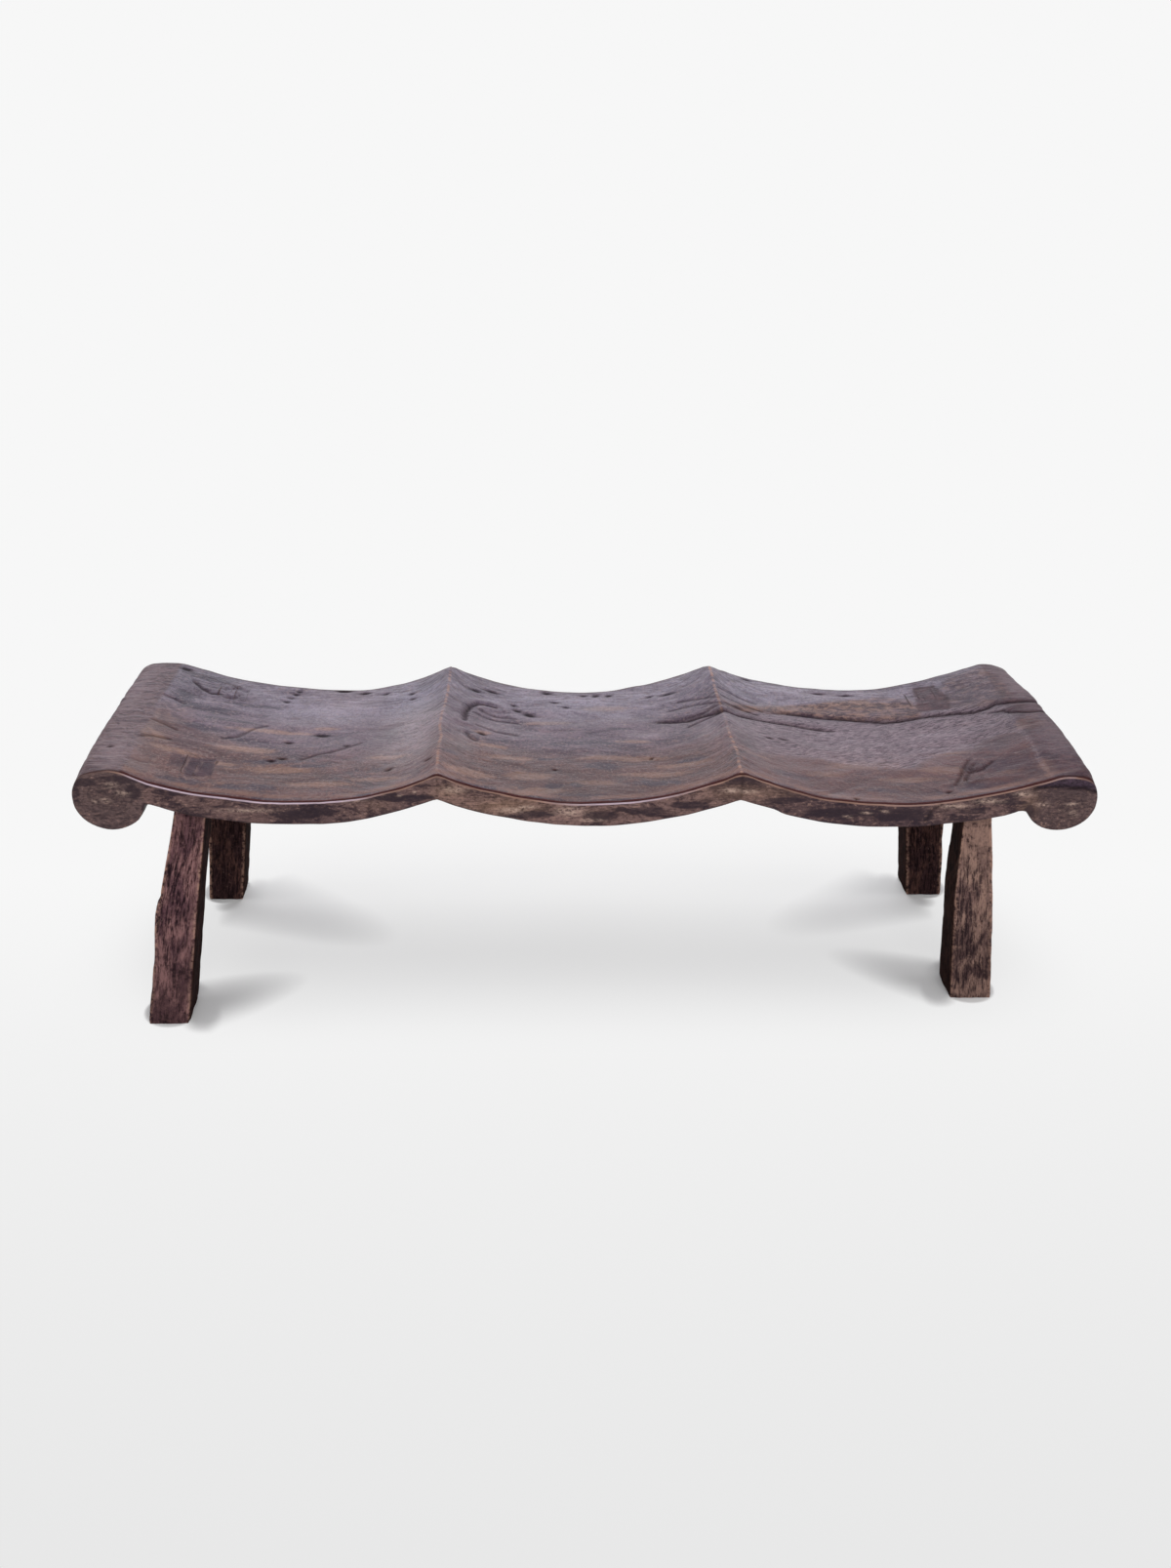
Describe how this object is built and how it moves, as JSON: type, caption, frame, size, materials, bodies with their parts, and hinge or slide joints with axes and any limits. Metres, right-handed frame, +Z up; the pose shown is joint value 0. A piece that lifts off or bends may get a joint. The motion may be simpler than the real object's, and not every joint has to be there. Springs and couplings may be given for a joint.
{
  "type": "saddle bench",
  "caption": "Long wooden bench: a carved slab of shallow saddles with rolled ends, on splayed hewn legs whose wedged tenons come through the seat.",
  "frame": {"origin": "on the floor, under the middle of the bench's bounding box", "axes": "+X along the bench to the right end as seen from the front, +Y from front to back, +Z up"},
  "size_m": [1.6918, 0.519, 0.48],
  "materials": {
    "seat_wood": "dark purple-brown stained hardwood, worn satin",
    "leg_wood": "dark brown stained hardwood, worn matt",
    "wedge_wood": "dark brown hardwood, end grain"
  },
  "bodies": {
    "root": {"seat": "seat_wood", "leg_front_left": "leg_wood", "leg_front_right": "leg_wood", "leg_rear_left": "leg_wood", "leg_rear_right": "leg_wood", "wedge_front_left": "wedge_wood", "wedge_front_right": "wedge_wood", "wedge_rear_left": "wedge_wood", "wedge_rear_right": "wedge_wood"}
  },
  "joints": []
}
